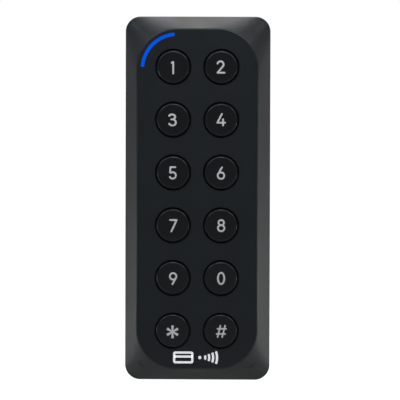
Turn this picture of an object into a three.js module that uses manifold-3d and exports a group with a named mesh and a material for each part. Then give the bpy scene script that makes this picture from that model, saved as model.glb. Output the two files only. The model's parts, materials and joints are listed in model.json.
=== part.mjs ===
// Keypad access reader for a narrow door frame: twelve round keys in a dark panel, a sloping bezel round it
// and a corner status light, hung on a steel wall plate.
//
// Millimetres. Every piece is laid out in a face frame: x to the right, y up the face, z out from the wall.
// One turn at the end stands the reader up: +Z up, the wall at Y = 0 and the keys facing -Y. The origin is
// the middle of the wall plate's rear face.
import * as THREE from "three";
import { mergeVertices } from "three/addons/utils/BufferGeometryUtils.js";
import Module from "manifold-3d";

const wasm = await Module();
wasm.setup();

// ---------------------------------------------------------------- driving dimensions

const HALF_WIDTH = 25;
const HALF_HEIGHT = 62.7;
const FRONT = 18.5; // face of the keypad panel
const FIT = 0.1; // assembly gap between two pieces that meet

// depths, out from the wall
const PLATE_THICK = 1.2;
const RIM_REAR = 0.4; // the housing stands just off the wall
const COVER_REAR = 0.5;
const RECESS_FLOOR = 3.2; // rear cover's recess for the wall plate
const COVER_FLOOR = 5.0; // inner face of the rear cover
const COVER_RIM = 8.5;
const SHOULDER = 9.7; // bezel's shoulder that the seal presses on
const BOARD_REAR = 9.9;
const BOARD_FRONT = 11.5;
const LEDGE_REAR = 15.4;
const LEDGE_FRONT = 16.8; // ledge that carries the panel

// panel and its corners
const PANEL_INSET = 4.3;
const PANEL_RADIUS = 13.8;
const PANEL_REAR = LEDGE_FRONT + FIT;

// keys
const KEY_PITCH_X = 16.56;
const KEY_PITCH_Y = 18.16;
const KEY_RADIUS = 5.65;
const KEY_HOLE_RADIUS = 6.25;
const KEY_FLANGE_RADIUS = 6.95;
const KEY_TOP = FRONT + 0.8;
const KEY_TRAVEL = 0.9;
const KEY_LABELS = ["1", "2", "3", "4", "5", "6", "7", "8", "9", "0", "star", "hash"];

// legends, raised a little on each key
const STROKE = 0.75;
const LEGEND_HALF_HEIGHT = 1.95;
const LEGEND_THICK = 0.15;

// status light: a quarter ring that follows the panel's upper left corner
const ARC_X = -(HALF_WIDTH - PANEL_INSET - PANEL_RADIUS);
const ARC_Y = HALF_HEIGHT - PANEL_INSET - PANEL_RADIUS;
const ARC_RADIUS = 12.04;
const ARC_WIDTH = 1.1;
const ARC_FROM = 95;
const ARC_TO = 176;

// fastenings
const WALL_SLOT_PITCH = 83.3; // vertical distance between the plate's two wall screws
const CASE_SCREW_X = 17.5;
const CASE_SCREW_Y = 55.5;
const CASE_SHANK_RADIUS = 1.2;
const LOCK_SHANK_RADIUS = 1.4;
const LOCK_DEPTH = 4.2;
const CABLE_Y = -18;
const CABLE_RADIUS = 3.3;
const TAMPER_X = 11;
const TAMPER_Y = 12;
const TAMPER_TRAVEL = 1.4;

// degrees between the points of small round pieces, of larger ones and of the corners
const COARSE = 30;
const MEDIUM = 22.5;
const FINE = 11.25;
const TIP = 60; // for the round ends of legend strokes

// ---------------------------------------------------------------- materials

const finish = (settings) => new THREE.MeshStandardMaterial(settings);
const plastic = (color, roughness) => finish({ color, roughness, metalness: 0 });
const metal = (color, roughness) => finish({ color, roughness, metalness: 1 });

const materials = {
  bezel: plastic(0x3a3c3d, 0.5),
  panel: plastic(0x1f2325, 0.6),
  key: plastic(0x181b1d, 0.5),
  legend: plastic(0xc9cac8, 0.5),
  light: finish({ color: 0x0058f0, roughness: 0.3, emissive: 0x0058f0 }),
  silicone: plastic(0x8f979b, 0.7),
  carbon: plastic(0x101010, 0.8),
  board: plastic(0x1d5a34, 0.45),
  chip: plastic(0x151515, 0.6),
  header: plastic(0xe9e4d4, 0.5),
  lamp: plastic(0xf2efe2, 0.3),
  copper: metal(0xb4652f, 0.4),
  cover: plastic(0x242627, 0.65),
  rubber: plastic(0x131313, 0.9),
  steel: metal(0xb9bcbf, 0.35),
  screw: metal(0x9a9c9e, 0.3),
  nylon: plastic(0xdedbd0, 0.5),
};

// ---------------------------------------------------------------- solids

const reader = new THREE.Group();

/** Adds one named piece to the reader, at (x, y) on the face. */
function add(name, geometry, material, x = 0, y = 0) {
  const mesh = new THREE.Mesh(geometry, material);
  mesh.name = name;
  mesh.position.set(x, y, 0);
  reader.add(mesh);
  return mesh;
}

/** A closed geometry as a solid that can be joined and cut. */
function solidOf(geometry) {
  const bare = geometry.index ? geometry.toNonIndexed() : geometry.clone();
  bare.deleteAttribute("normal");
  bare.deleteAttribute("uv");
  const merged = mergeVertices(bare, 1e-4);
  const mesh = new wasm.Mesh({
    numProp: 3,
    vertProperties: merged.attributes.position.array,
    triVerts: new Uint32Array(merged.index.array),
  });
  return new wasm.Manifold(mesh);
}

function geometryOf(solid) {
  const mesh = solid.getMesh();
  const geometry = new THREE.BufferGeometry();
  geometry.setAttribute("position", new THREE.BufferAttribute(mesh.vertProperties, 3));
  geometry.setIndex(new THREE.BufferAttribute(mesh.triVerts, 1));
  return geometry;
}

const join = (solids) => solids.reduce((whole, next) => whole.add(next));
const cut = (solid, tools) => tools.reduce((rest, tool) => rest.subtract(tool), solid);
const radians = THREE.MathUtils.degToRad;

/** Points along an arc, about `step` degrees apart, counterclockwise where `to` is above `from`. */
function arc(cx, cy, radius, from, to, step, radiusY = radius) {
  const count = Math.max(1, Math.round(Math.abs(to - from) / step));
  return Array.from({ length: count + 1 }, (_, i) => {
    const angle = radians(from + ((to - from) * i) / count);
    return new THREE.Vector2(cx + radius * Math.cos(angle), cy + radiusY * Math.sin(angle));
  });
}

/** The outline of a rectangle with round corners, counterclockwise. */
function roundedRect(halfWidth, halfHeight, radius, step = FINE) {
  const x = halfWidth - radius;
  const y = halfHeight - radius;
  return [
    ...arc(x, y, radius, 0, 90, step),
    ...arc(-x, y, radius, 90, 180, step),
    ...arc(-x, -y, radius, 180, 270, step),
    ...arc(x, -y, radius, 270, 360, step),
  ];
}

const circle = (radius, step = MEDIUM) => arc(0, 0, radius, 0, 360 - step, step);
const moved = (points, x, y) => points.map((p) => new THREE.Vector2(p.x + x, p.y + y));

/** A flat piece with that outline and those holes, from z0 to z1. */
function slab(outline, z0, z1, holes = []) {
  const shape = new THREE.Shape(outline);
  shape.holes = holes.map((points) => new THREE.Path(points));
  const geometry = new THREE.ExtrudeGeometry(shape, { depth: z1 - z0, bevelEnabled: false });
  return solidOf(geometry.translate(0, 0, z0));
}

/** A box centred on (x, y), from z0 to z1. */
function block(x, y, width, height, z0, z1) {
  const geometry = new THREE.BoxGeometry(width, height, z1 - z0);
  return solidOf(geometry.translate(x, y, (z0 + z1) / 2));
}

/** A round piece about the z axis: [radius, z] points, up the outside and back down the axis or the bore. */
function turned(profile, step = MEDIUM) {
  const points = profile.map(([radius, z]) => new THREE.Vector2(radius, z));
  return new THREE.LatheGeometry(points, 360 / step).rotateX(Math.PI / 2);
}

function rod(radius, z0, z1, step = MEDIUM) {
  return solidOf(turned([[0, z0], [radius, z0], [radius, z1], [0, z1]], step));
}

// ---------------------------------------------------------------- front bezel

/** A closed frame lofted round the reader's outline, from a section that is a loop of [inset, radius, z]. */
function loftedFrame(section) {
  const rings = section.map(([inset, radius, z]) =>
    roundedRect(HALF_WIDTH - inset, HALF_HEIGHT - inset, radius).map((p) => [p.x, p.y, z]),
  );
  const count = rings[0].length;
  const index = [];
  rings.forEach((_, i) => {
    const here = i * count;
    const next = ((i + 1) % rings.length) * count;
    for (let j = 0; j < count; j++) {
      const k = (j + 1) % count;
      index.push(here + j, here + k, next + k, here + j, next + k, next + j);
    }
  });
  const geometry = new THREE.BufferGeometry();
  geometry.setAttribute("position", new THREE.Float32BufferAttribute(rings.flat(2), 3));
  geometry.setIndex(index);
  return geometry;
}

const CORNER_RADIUS = 5.2;
const RECESS_INSET = 4.2; // where the slope meets the panel
const RECESS_RADIUS = PANEL_RADIUS + PANEL_INSET - RECESS_INSET;

/** The slope's corner radius grows evenly from the reader's outer edge to the panel. */
const slopeRadius = (inset) => CORNER_RADIUS + ((RECESS_RADIUS - CORNER_RADIUS) * inset) / RECESS_INSET;
const slope = [
  [0, 11.8],
  [0.1, 12.45],
  [0.35, 12.95],
  [3.9, 18.3],
  [RECESS_INSET, FRONT],
].map(([inset, z]) => [inset, slopeRadius(inset), z]);

// skirt and slope outside; panel ledge, wall and seal shoulder inside
const bezelSection = [
  [0.6, 4.7, RIM_REAR],
  [0.1, 5.1, 10.5],
  ...slope,
  [RECESS_INSET, RECESS_RADIUS, LEDGE_FRONT],
  [5.2, 12.9, LEDGE_FRONT],
  [5.2, 12.9, LEDGE_REAR],
  [4.2, 9.6, LEDGE_REAR],
  [2.3, 4.4, 11.8],
  [2.3, 4.2, 10.9],
  [3.9, 2.8, 10.9],
  [3.9, 2.8, SHOULDER],
  [2.3, 4.0, SHOULDER],
  [2.2, 3.4, RIM_REAR],
];
const LOCK_HEAD_RADIUS = 2.6;
const LOCK_SEAT_Y = 1.45 - HALF_HEIGHT; // bottom of the lock screw's counterbore

/** A rod along y, from y0 to y1, at the lock screw's depth. */
function lockBore(radius, y0, y1) {
  return rod(radius, y0, y1, COARSE).rotate([-90, 0, 0]).translate([0, 0, LOCK_DEPTH]);
}

const BOSS_RADIUS = 3;
const caseScrewSpots = [-1, 1].flatMap((sx) => [-1, 1].map((sy) => [sx * CASE_SCREW_X, sy * CASE_SCREW_Y]));
const bosses = caseScrewSpots.map(([x, y]) =>
  rod(BOSS_RADIUS, COVER_FLOOR + FIT, LEDGE_REAR - FIT).translate([x, y, 0]),
);
const bossBores = caseScrewSpots.map(([x, y]) =>
  rod(CASE_SHANK_RADIUS + FIT, COVER_FLOOR, 12, COARSE).translate([x, y, 0]),
);
const bezel = cut(join([solidOf(loftedFrame(bezelSection)), ...bosses]), [
  ...bossBores,
  lockBore(LOCK_HEAD_RADIUS + 0.3, -64, LOCK_SEAT_Y),
  lockBore(LOCK_SHANK_RADIUS + 0.25, -64, -59),
]);
add("front_bezel", geometryOf(bezel), materials.bezel);

// ---------------------------------------------------------------- keypad panel

const keySpots = KEY_LABELS.map((label, i) => ({
  label,
  x: (i % 2 ? 0.5 : -0.5) * KEY_PITCH_X,
  y: (2.5 - Math.floor(i / 2)) * KEY_PITCH_Y,
}));

/** A stretch of ring about the status light's centre, with ends cut square to the ring. */
function ringStretch(inner, outer, from, to) {
  return [...arc(ARC_X, ARC_Y, outer, from, to, FINE), ...arc(ARC_X, ARC_Y, inner, to, from, FINE)];
}

const ARC_INNER = ARC_RADIUS - ARC_WIDTH / 2;
const ARC_OUTER = ARC_RADIUS + ARC_WIDTH / 2;
const panelOutline = roundedRect(HALF_WIDTH - PANEL_INSET, HALF_HEIGHT - PANEL_INSET, PANEL_RADIUS);
const panelHoles = keySpots.map(({ x, y }) => moved(circle(KEY_HOLE_RADIUS), x, y));
const lightSlot = ringStretch(ARC_INNER - FIT, ARC_OUTER + FIT, ARC_FROM - 0.5, ARC_TO + 0.5);
const panel = slab(panelOutline, PANEL_REAR, FRONT, [...panelHoles, lightSlot]);
add("keypad_panel", geometryOf(panel), materials.panel);

// ---------------------------------------------------------------- keys: cap, legend and contact pill

const KEY_CAVITY_RADIUS = 4.6;
const KEY_WALL = 1.7;
const KEY_FLANGE_TOP = PANEL_REAR - 2 * FIT;
const KEY_FLANGE_THICK = 0.9;
const PILL_RADIUS = 2.2;
const PILL_REAR = BOARD_FRONT + KEY_TRAVEL + FIT;
const PILL_THICK = 0.8;

const keycapGeometry = turned([
  [0, KEY_TOP - KEY_WALL],
  [KEY_CAVITY_RADIUS, KEY_TOP - KEY_WALL],
  [KEY_CAVITY_RADIUS, KEY_FLANGE_TOP - KEY_FLANGE_THICK],
  [KEY_FLANGE_RADIUS, KEY_FLANGE_TOP - KEY_FLANGE_THICK],
  [KEY_FLANGE_RADIUS, KEY_FLANGE_TOP],
  [KEY_RADIUS, KEY_FLANGE_TOP],
  [KEY_RADIUS, KEY_TOP - 0.55],
  [KEY_RADIUS - 0.55, KEY_TOP],
  [0, KEY_TOP],
]);
const pillGeometry = geometryOf(rod(PILL_RADIUS, PILL_REAR, PILL_REAR + PILL_THICK, COARSE));

/** A straight stroke of a legend, with round ends. */
function line(x0, y0, x1, y1, width = STROKE) {
  const angle = THREE.MathUtils.radToDeg(Math.atan2(y1 - y0, x1 - x0));
  const end = arc(x1, y1, width / 2, angle - 90, angle + 90, TIP);
  const start = arc(x0, y0, width / 2, angle + 90, angle + 270, TIP);
  return slab([...end, ...start], 0, LEGEND_THICK);
}

/** A curved stroke with round ends, counterclockwise from one angle to the other. */
function bow(cx, cy, radius, from, to) {
  const half = STROKE / 2;
  const end = arc(cx, cy, radius, to, to, 1)[0];
  const start = arc(cx, cy, radius, from, from, 1)[0];
  return slab(
    [
      ...arc(cx, cy, radius + half, from, to, MEDIUM),
      ...arc(end.x, end.y, half, to, to + 180, TIP).slice(1, -1),
      ...arc(cx, cy, radius - half, to, from, MEDIUM),
      ...arc(start.x, start.y, half, from + 180, from + 360, TIP).slice(1, -1),
    ],
    0,
    LEGEND_THICK,
  );
}

/** A closed oval stroke. */
function oval(cx, cy, radiusX, radiusY) {
  const half = STROKE / 2;
  const outer = arc(cx, cy, radiusX + half, 0, 360 - MEDIUM, MEDIUM, radiusY + half);
  const inner = arc(cx, cy, radiusX - half, 0, 360 - MEDIUM, MEDIUM, radiusY - half);
  return slab(outer, 0, LEGEND_THICK, [inner]);
}

/** One arm of the asterisk, widening to its tip. */
function arm(angle) {
  const outline = [[0.28, 0], [0.52, 1.85], [0.36, 2.32], [-0.36, 2.32], [-0.52, 1.85], [-0.28, 0]];
  const hub = new THREE.Vector2();
  const points = outline.map(([x, y]) => new THREE.Vector2(x, y).rotateAround(hub, radians(angle)));
  return slab(points, 0, LEGEND_THICK);
}

const TOP = LEGEND_HALF_HEIGHT;
const six = [oval(0, -0.8, 1.15, 1.15), line(0.35, TOP, -0.98, -0.25)];
const legends = {
  1: [line(0.05, TOP, 0.05, -TOP), line(0.05, TOP, -0.45, TOP - 0.3)],
  2: [bow(0, TOP - 1, 1, -40, 165), line(0.77, 0.31, -1.13, -TOP), line(-1.13, -TOP, 1.13, -TOP)],
  3: [bow(0, 1.05, 0.9, -90, 155), line(-0.25, 0.2, 0.1, 0.2), bow(0, -0.85, 1.1, -155, 90)],
  4: [line(0.2, TOP, -1.33, -0.98), line(-1.33, -0.98, 1.33, -0.98), line(0.66, 0.2, 0.66, -TOP)],
  5: [line(-0.95, TOP, 0.85, TOP), line(-0.95, TOP, -1.05, 0.15), bow(-0.05, -0.78, 1.17, -150, 128)],
  6: six,
  7: [line(-1.15, TOP, 1.15, TOP), line(1.15, TOP, -0.7, -TOP)],
  8: [oval(0, 1.02, 0.99, 0.93), oval(0, -0.88, 1.17, 1.07)],
  9: six.map((stroke) => stroke.rotate([0, 0, 180])),
  0: [oval(0, 0, 1.17, TOP)],
  star: [0, 60, 120, 180, 240, 300].map(arm),
  hash: [
    line(-1.28, -TOP, -0.33, TOP, 0.72),
    line(0.28, -TOP, 1.28, TOP, 0.72),
    line(-1.3, 0.88, 1.6, 0.88, 0.72),
    line(-1.6, -0.9, 1.3, -0.9, 0.72),
  ],
};
const LEGEND_REAR = KEY_TOP + 0.02;

for (const { label, x, y } of keySpots) {
  const legend = join(legends[label]).translate([0, 0, LEGEND_REAR]);
  add(`keycap_${label}`, keycapGeometry, materials.key, x, y);
  add(`legend_${label}`, geometryOf(legend), materials.legend, x, y);
  add(`contact_pill_${label}`, pillGeometry, materials.carbon, x, y);
}

// ---------------------------------------------------------------- silicone mat with a dome under each key

const MAT_REAR = BOARD_FRONT + FIT;
const MAT_SHEET = 1;
const MAT_HALF_WIDTH = 16;
const MAT_HALF_HEIGHT = 51.4;
const DOME_TOP = KEY_TOP - KEY_WALL - FIT;

const domeGeometry = turned(
  [
    [0, MAT_REAR + 0.2],
    [5.6, MAT_REAR + 0.2],
    [5.6, MAT_REAR + MAT_SHEET],
    [3.4, 14.3],
    [3.4, DOME_TOP],
    [0, DOME_TOP],
  ],
  COARSE,
);
const cavityProfile = [[0, MAT_REAR - 1], [4.7, MAT_REAR - 1], [4.7, MAT_REAR], [2.6, 13.4], [0, 13.4]];
const domeCavity = turned(cavityProfile, COARSE);
const mat = cut(
  join([
    slab(roundedRect(MAT_HALF_WIDTH, MAT_HALF_HEIGHT, 8, MEDIUM), MAT_REAR, MAT_REAR + MAT_SHEET),
    ...keySpots.map(({ x, y }) => solidOf(domeGeometry).translate([x, y, 0])),
  ]),
  keySpots.map(({ x, y }) => solidOf(domeCavity).translate([x, y, 0])),
);
add("keypad_mat", geometryOf(mat), materials.silicone);

// ---------------------------------------------------------------- status light guide and its two lamps

/** A point on the inner half of the status light's ring, where its legs stand. */
const onArc = (angle) => arc(ARC_X, ARC_Y, ARC_RADIUS - ARC_WIDTH / 4, angle, angle, 1)[0];
const GUIDE_LEG_REAR = BOARD_FRONT + 1.1;
const leftLamp = onArc(170);
const topLamp = onArc(100);
const guide = join([
  slab(ringStretch(ARC_INNER, ARC_OUTER, ARC_FROM, ARC_TO), LEDGE_REAR, FRONT),
  slab(ringStretch(ARC_INNER - 0.5, ARC_OUTER, ARC_FROM, ARC_TO), LEDGE_REAR, LEDGE_FRONT),
  block(leftLamp.x, leftLamp.y, 1.1, 2, GUIDE_LEG_REAR, LEDGE_REAR + 0.5),
  block(topLamp.x, topLamp.y, 2, 1.1, GUIDE_LEG_REAR, LEDGE_REAR + 0.5),
]);
add("status_light_guide", geometryOf(guide), materials.light);
const lampGeometry = geometryOf(block(0, 0, 1.6, 1.6, BOARD_FRONT + FIT, BOARD_FRONT + 0.9));
add("status_led_left", lampGeometry, materials.lamp, leftLamp.x, leftLamp.y);
add("status_led_top", lampGeometry, materials.lamp, topLamp.x, topLamp.y);

// ---------------------------------------------------------------- main board and what is soldered to it

// the board's corners are notched round the bezel's screw bosses
const BOARD_HALF_WIDTH = 20.5;
const BOARD_HALF_HEIGHT = 58.2;
const NOTCH_X = 13.2;
const NOTCH_Y = 51.9;
const boardQuarter = [[BOARD_HALF_WIDTH, NOTCH_Y], [NOTCH_X, NOTCH_Y], [NOTCH_X, BOARD_HALF_HEIGHT]];
const boardOutline = [
  ...boardQuarter,
  ...boardQuarter.map(([x, y]) => [-x, y]).reverse(),
  ...boardQuarter.map(([x, y]) => [-x, -y]),
  ...boardQuarter.map(([x, y]) => [x, -y]).reverse(),
].map(([x, y]) => new THREE.Vector2(x, y));
add("main_board", geometryOf(slab(boardOutline, BOARD_REAR, BOARD_FRONT)), materials.board);

const coilInside = roundedRect(16.3, 51.7, 8.3);
const coil = slab(roundedRect(17.3, 52.7, 9.3), BOARD_FRONT + FIT, BOARD_FRONT + 1.2, [coilInside]);
add("antenna_coil", geometryOf(coil), materials.copper);

const SOLDER_SIDE = BOARD_REAR - FIT;
add("controller_chip", geometryOf(block(0, 0, 9, 9, SOLDER_SIDE - 1.2, SOLDER_SIDE)), materials.chip, -9, 12);
add("reader_chip", geometryOf(block(0, 0, 5, 5, SOLDER_SIDE - 0.9, SOLDER_SIDE)), materials.chip, -8, 33);

const BUZZER_REAR = SOLDER_SIDE - 3.4;
const soundHole = rod(0.8, BUZZER_REAR - 1, BUZZER_REAR + 1, COARSE);
const buzzer = cut(rod(4.5, BUZZER_REAR, SOLDER_SIDE), [soundHole]);
add("buzzer", geometryOf(buzzer), materials.chip, 11, -38);

const HEADER_PINS = 8;
const HEADER_PITCH = 2;
const HEADER_REAR = SOLDER_SIDE - 3.8;
const headerOpening = block(0, 0, 16.6, 3.4, HEADER_REAR - 1, SOLDER_SIDE - 1);
const headerBody = cut(block(0, 0, 18, 4.8, HEADER_REAR, SOLDER_SIDE), [headerOpening]);
const headerPins = Array.from({ length: HEADER_PINS }, (_, i) =>
  block((i - (HEADER_PINS - 1) / 2) * HEADER_PITCH, 0, 0.5, 0.5, HEADER_REAR + 0.6, SOLDER_SIDE - 0.5),
);
add("cable_header", geometryOf(join([headerBody, ...headerPins])), materials.header, 0, -29);

// ---------------------------------------------------------------- tamper switch, its spring and its plunger

const SWITCH_REAR = SOLDER_SIDE - 1.7;
const NUB_REAR = SWITCH_REAR - 0.5;
const PLUNGER_RADIUS = 2.3;
const PLUNGER_TIP = FIT;
const PLUNGER_FLANGE = COVER_FLOOR + TAMPER_TRAVEL + FIT;
const switchNub = rod(1.4, NUB_REAR, SWITCH_REAR + 0.2, COARSE);
const tamperSwitch = join([block(0, 0, 6, 6, SWITCH_REAR, SOLDER_SIDE), switchNub]);
add("tamper_switch", geometryOf(tamperSwitch), materials.chip, TAMPER_X, TAMPER_Y);

const plungerGeometry = turned([
  [0, PLUNGER_TIP],
  [PLUNGER_RADIUS - 0.5, PLUNGER_TIP],
  [PLUNGER_RADIUS, PLUNGER_TIP + 0.5],
  [PLUNGER_RADIUS, PLUNGER_FLANGE],
  [3.2, PLUNGER_FLANGE],
  [3.2, PLUNGER_FLANGE + 0.6],
  [1.8, PLUNGER_FLANGE + 0.6],
  [1.8, 1.5],
  [0, 1.5],
]);
add("tamper_plunger", plungerGeometry, materials.nylon, TAMPER_X, TAMPER_Y);

const SPRING_TURNS = 4;
const SPRING_RADIUS = 1.35;
const SPRING_WIRE_RADIUS = 0.18;
const SPRING_FROM = 1.5 + FIT + SPRING_WIRE_RADIUS;
const SPRING_TO = NUB_REAR - FIT - SPRING_WIRE_RADIUS;

/** The coil spring's middle line, a helix about z. */
class SpringPath extends THREE.Curve {
  getPoint(t, target = new THREE.Vector3()) {
    const angle = 2 * Math.PI * SPRING_TURNS * t;
    const z = SPRING_FROM + (SPRING_TO - SPRING_FROM) * t;
    return target.set(SPRING_RADIUS * Math.cos(angle), SPRING_RADIUS * Math.sin(angle), z);
  }
}
const springGeometry = new THREE.ExtrudeGeometry(new THREE.Shape(circle(SPRING_WIRE_RADIUS, 72)), {
  steps: SPRING_TURNS * 10,
  extrudePath: new SpringPath(),
});
add("tamper_spring", springGeometry, materials.screw, TAMPER_X, TAMPER_Y);

// ---------------------------------------------------------------- rear cover, seal and cable grommet

const COVER_INSET = 2.55;
const COVER_WALL = 1.45;
const RECESS_HALF_WIDTH = 19.6;
const RECESS_HALF_HEIGHT = 50;
const CHANNEL_HALF_WIDTH = 6; // the lock lug's channel, between the recess and the lower edge
const CHANNEL_CEILING = 7.2;
const CHANNEL_TOP = -49.5;
const HOOK_X = 9;
const HOOK_HALF_WIDTH = 3;

/** An outline that runs parallel to the reader's, further in. */
const insetOutline = (inset, radius, step = MEDIUM) =>
  roundedRect(HALF_WIDTH - inset, HALF_HEIGHT - inset, radius, step);

const coverInset = COVER_INSET + COVER_WALL;
const coverShell = cut(slab(insetOutline(COVER_INSET, 3.2), COVER_REAR, COVER_RIM), [
  slab(insetOutline(coverInset, 2), COVER_FLOOR, COVER_RIM + 1),
]);
const posts = [-1, 1].flatMap((sx) =>
  [-1, 1].map((sy) => rod(1.6, COVER_FLOOR - 0.5, SOLDER_SIDE, COARSE).translate([sx * 18, sy * 41, 0])),
);
const houseHeight = HALF_HEIGHT - 3 + CHANNEL_TOP + 1.5;
const channelHouse = block(
  0,
  CHANNEL_TOP + 1.5 - houseHeight / 2,
  2 * CHANNEL_HALF_WIDTH + 3,
  houseHeight,
  COVER_FLOOR - 0.5,
  COVER_RIM,
);
const GROMMET_GROOVE_RADIUS = 4.1;
const rearCover = cut(join([coverShell, ...posts, channelHouse]), [
  slab(roundedRect(RECESS_HALF_WIDTH, RECESS_HALF_HEIGHT, 2.5, COARSE), COVER_REAR - 1, RECESS_FLOOR),
  block(0, CHANNEL_TOP - 6, 2 * CHANNEL_HALF_WIDTH, 12, COVER_REAR - 1, CHANNEL_CEILING),
  ...[-1, 1].map((sx) => block(sx * HOOK_X, 50.6, 2 * HOOK_HALF_WIDTH + 0.6, 2.6, 1.5, RECESS_FLOOR)),
  ...caseScrewSpots.map(([x, y]) => rod(2.7, COVER_REAR - 1, 2.6).translate([x, y, 0])),
  ...caseScrewSpots.map(([x, y]) => rod(CASE_SHANK_RADIUS + 0.2, 0, 6).translate([x, y, 0])),
  rod(GROMMET_GROOVE_RADIUS + FIT, 2, 6).translate([0, CABLE_Y, 0]),
  rod(PLUNGER_RADIUS + 0.2, 2, 6).translate([TAMPER_X, TAMPER_Y, 0]),
]);
add("rear_cover", geometryOf(rearCover), materials.cover);

const seal = slab(insetOutline(2.6, 3.6), COVER_RIM + FIT, SHOULDER - FIT, [insetOutline(3.8, 2.4)]);
add("housing_seal", geometryOf(seal), materials.rubber);

const grommetGeometry = turned([
  [CABLE_RADIUS, 2.2],
  [6, 2.2],
  [6, RECESS_FLOOR - FIT],
  [GROMMET_GROOVE_RADIUS, RECESS_FLOOR - FIT],
  [GROMMET_GROOVE_RADIUS, COVER_FLOOR + FIT],
  [5.4, COVER_FLOOR + FIT],
  [5.0, COVER_FLOOR + 1.1],
  [CABLE_RADIUS, COVER_FLOOR + 1.1],
  [CABLE_RADIUS, 2.2],
]);
add("cable_grommet", grommetGeometry, materials.rubber, 0, CABLE_Y);

// ---------------------------------------------------------------- wall plate, with two hooks and a lock lug

const LUG_Y = -59;
const SLOT_LENGTH = 8;
const SLOT_RADIUS = 2.2;

/** A slot's outline, centred on (x, y), running across or up the plate. */
function slot(x, y, length, radius, upright) {
  const half = length / 2 - radius;
  const points = [...arc(half, 0, radius, -90, 90, COARSE), ...arc(-half, 0, radius, 90, 270, COARSE)];
  return moved(upright ? points.map((p) => new THREE.Vector2(-p.y, p.x)) : points, x, y);
}

const plateBlank = slab(roundedRect(19, 49.3, 2, COARSE), 0, PLATE_THICK, [
  slot(0, WALL_SLOT_PITCH / 2, SLOT_LENGTH, SLOT_RADIUS, false),
  slot(0, -WALL_SLOT_PITCH / 2, SLOT_LENGTH, SLOT_RADIUS, true),
  moved(roundedRect(8, 12, 2, COARSE), 0, CABLE_Y),
  moved(circle(3), TAMPER_X, TAMPER_Y),
]);
const hooks = [-1, 1].flatMap((sx) => [
  block(sx * HOOK_X, 48.7, 2 * HOOK_HALF_WIDTH, PLATE_THICK, PLATE_THICK - 0.3, 2.9),
  block(sx * HOOK_X, 49.7, 2 * HOOK_HALF_WIDTH, 3.2, 1.9, 2.9),
]);
const lug = [
  block(0, -54.3, 10, 10.6, 0, PLATE_THICK),
  cut(block(0, LUG_Y, 10, PLATE_THICK, 0, 6.6), [lockBore(LOCK_SHANK_RADIUS + FIT, -62, -56)]),
];
add("wall_plate", geometryOf(join([plateBlank, ...hooks, ...lug])), materials.steel);

// ---------------------------------------------------------------- screws

/** A screw standing on its head's face at z 0, with a cross recess cut into it and its shank along +z. */
function screw(headRadius, headThick, shankRadius, length) {
  const profile = [
    [0, 0],
    [headRadius - 0.4, 0],
    [headRadius, 0.4],
    [headRadius, headThick],
    [shankRadius, headThick],
    [shankRadius, length - 0.6],
    [shankRadius - 0.5, length],
    [0, length],
  ];
  const bar = headRadius * 1.1;
  const recess = [block(0, 0, bar, 0.6, -1, 0.7), block(0, 0, 0.6, bar, -1, 0.7)];
  return geometryOf(cut(solidOf(turned(profile, COARSE)), recess));
}

const caseScrewGeometry = screw(2.3, 1.6, CASE_SHANK_RADIUS, 10.4);
caseScrewSpots.forEach(([x, y]) => {
  const name = `case_screw_${y > 0 ? "upper" : "lower"}_${x > 0 ? "right" : "left"}`;
  add(name, caseScrewGeometry, materials.screw, x, y).position.z = 0.9;
});

const LOCK_HEAD_THICK = 0.9;
const lockScrewGeometry = screw(LOCK_HEAD_RADIUS, LOCK_HEAD_THICK, LOCK_SHANK_RADIUS, 8);
const lockScrew = add("security_screw", lockScrewGeometry, materials.screw);
lockScrew.rotation.x = -Math.PI / 2;
lockScrew.position.set(0, LOCK_SEAT_Y - FIT - LOCK_HEAD_THICK, LOCK_DEPTH);

// ---------------------------------------------------------------- stand the reader up

reader.rotation.x = Math.PI / 2;

export default reader;
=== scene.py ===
"""The looks of the keypad access reader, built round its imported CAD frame.

Shapes are drawn in millimetres in a face frame, as in the CAD: x to the right, y up the face and z out from
the wall. piece() turns them into the row frame: metres, +Z up, the wall at Y = 0 and the keys facing -Y.
"""

import json
import math

import bmesh
import bpy
from mathutils import Matrix, Vector
from mathutils.geometry import delaunay_2d_cdt


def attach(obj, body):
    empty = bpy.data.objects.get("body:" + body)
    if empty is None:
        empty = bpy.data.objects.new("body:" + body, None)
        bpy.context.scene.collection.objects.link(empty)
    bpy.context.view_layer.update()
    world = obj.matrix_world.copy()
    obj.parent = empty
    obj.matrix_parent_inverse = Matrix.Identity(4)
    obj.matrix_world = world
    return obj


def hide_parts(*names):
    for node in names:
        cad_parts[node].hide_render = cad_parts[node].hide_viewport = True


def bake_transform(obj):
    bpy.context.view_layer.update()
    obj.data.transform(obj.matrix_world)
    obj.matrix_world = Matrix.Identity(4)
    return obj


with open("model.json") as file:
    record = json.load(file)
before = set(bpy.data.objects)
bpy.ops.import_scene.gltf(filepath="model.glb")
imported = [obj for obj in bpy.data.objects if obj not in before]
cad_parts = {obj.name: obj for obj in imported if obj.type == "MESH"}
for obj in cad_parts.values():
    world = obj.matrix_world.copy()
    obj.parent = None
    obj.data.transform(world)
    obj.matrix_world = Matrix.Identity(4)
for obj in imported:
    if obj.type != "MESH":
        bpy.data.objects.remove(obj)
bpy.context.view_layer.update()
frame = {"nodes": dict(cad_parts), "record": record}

MM = 0.001
TO_ROW = Matrix(((MM, 0, 0, 0), (0, 0, -MM, 0), (0, MM, 0, 0), (0, 0, 0, 1)))  # face frame to row frame
ROOT = "reader"

# ------------ dimensions, the CAD's own

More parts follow.
